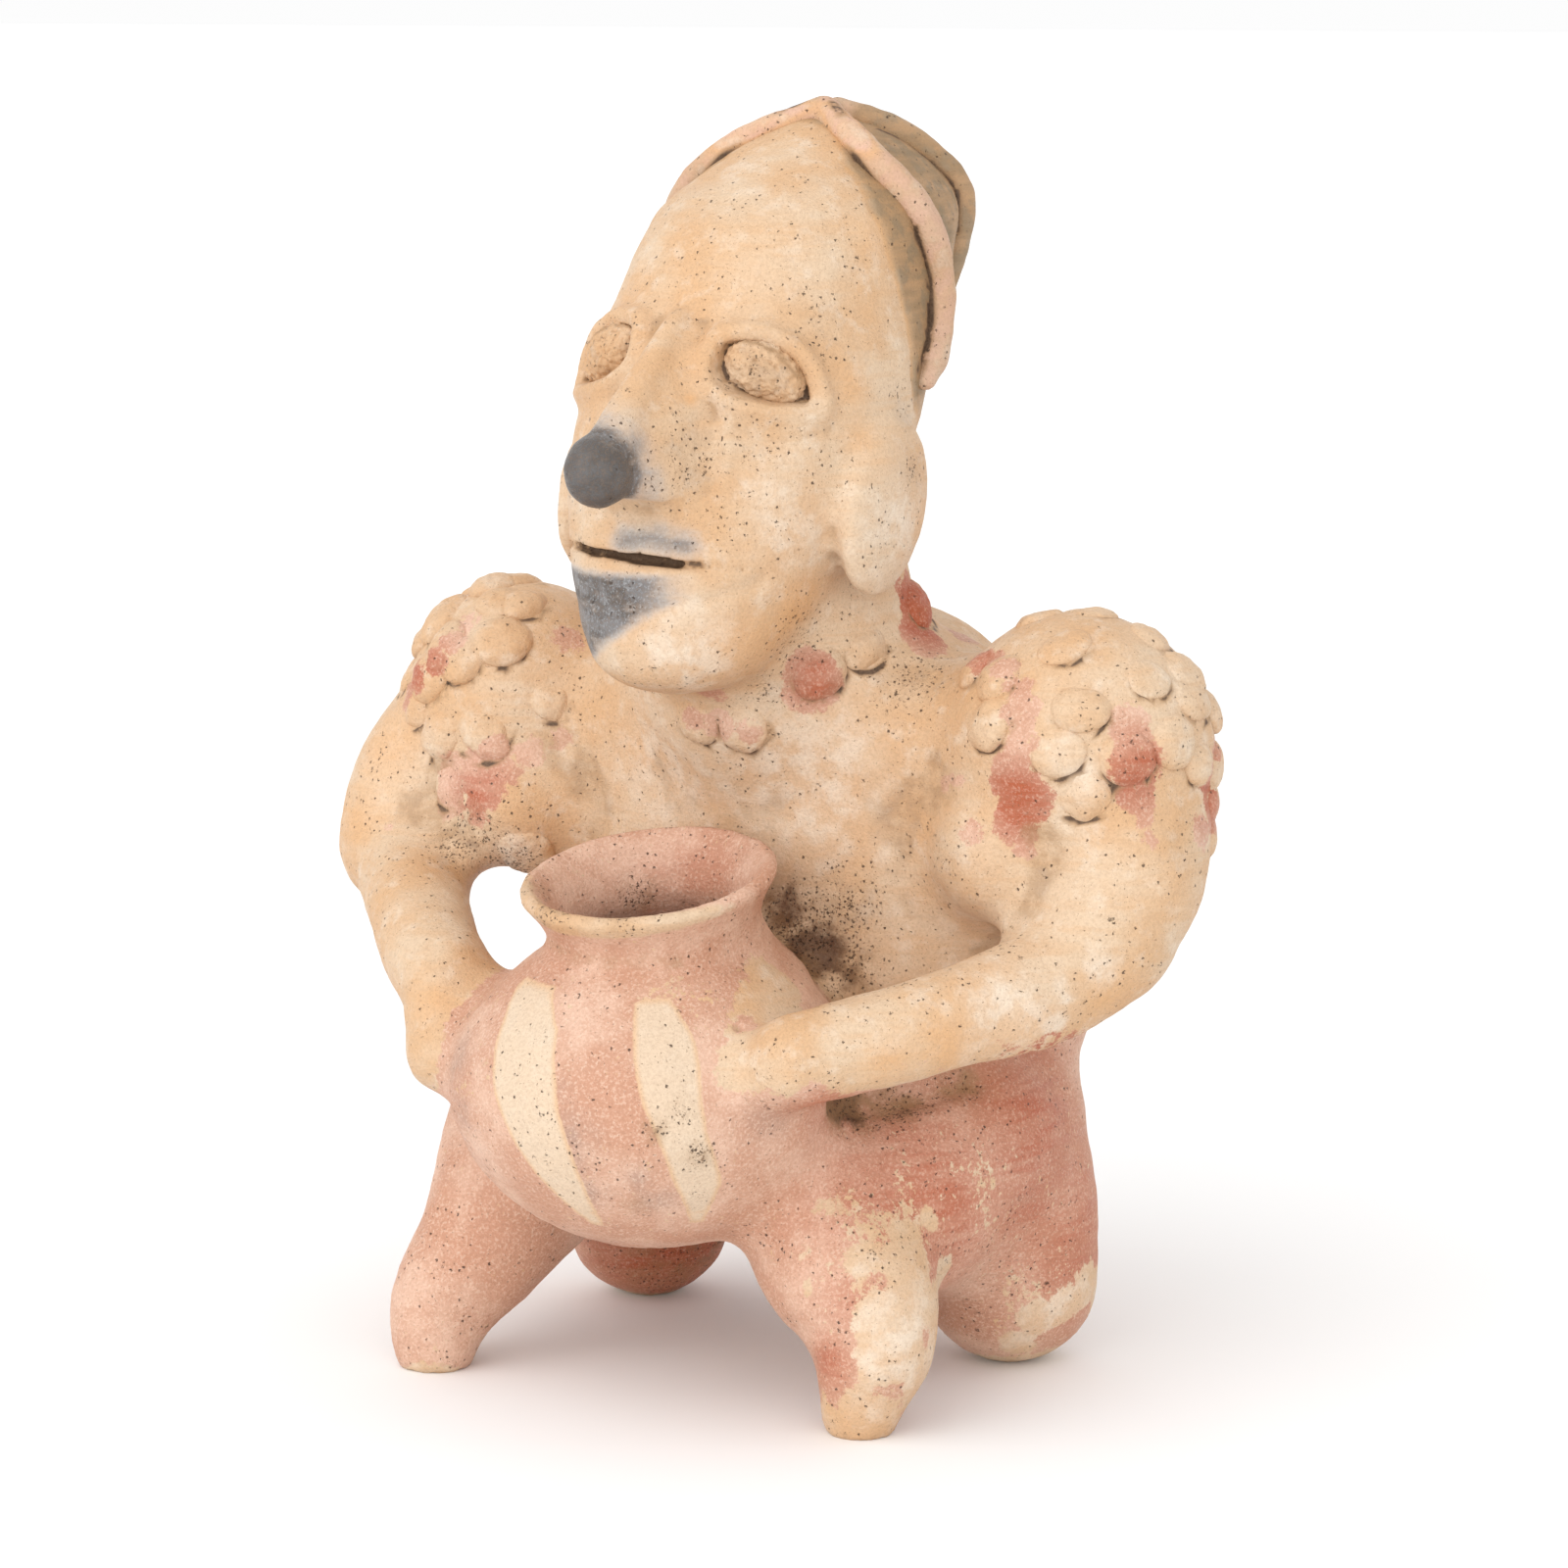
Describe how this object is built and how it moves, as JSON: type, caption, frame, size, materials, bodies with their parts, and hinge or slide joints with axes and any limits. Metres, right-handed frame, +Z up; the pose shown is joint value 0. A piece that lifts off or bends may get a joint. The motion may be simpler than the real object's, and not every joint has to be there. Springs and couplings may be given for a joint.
{
  "type": "hunchback figure",
  "caption": "Hollow fired-clay figure of a squatting hunchback who hugs an open jar in its lap, with clay pellets over both shoulders.",
  "frame": {"origin": "on the ground that the feet and haunches stand on, below the middle of the figure's width and depth", "axes": "+Z up through the crown, -Y out of the face, +X towards the figure's left shoulder"},
  "size_m": [0.245, 0.1928, 0.3149],
  "materials": {
    "fired_clay": "burnished earthenware, cream to peach clay with worn red slip, matt to low sheen"
  },
  "bodies": {
    "root": {"hunchback_figure": "fired_clay"}
  },
  "joints": []
}
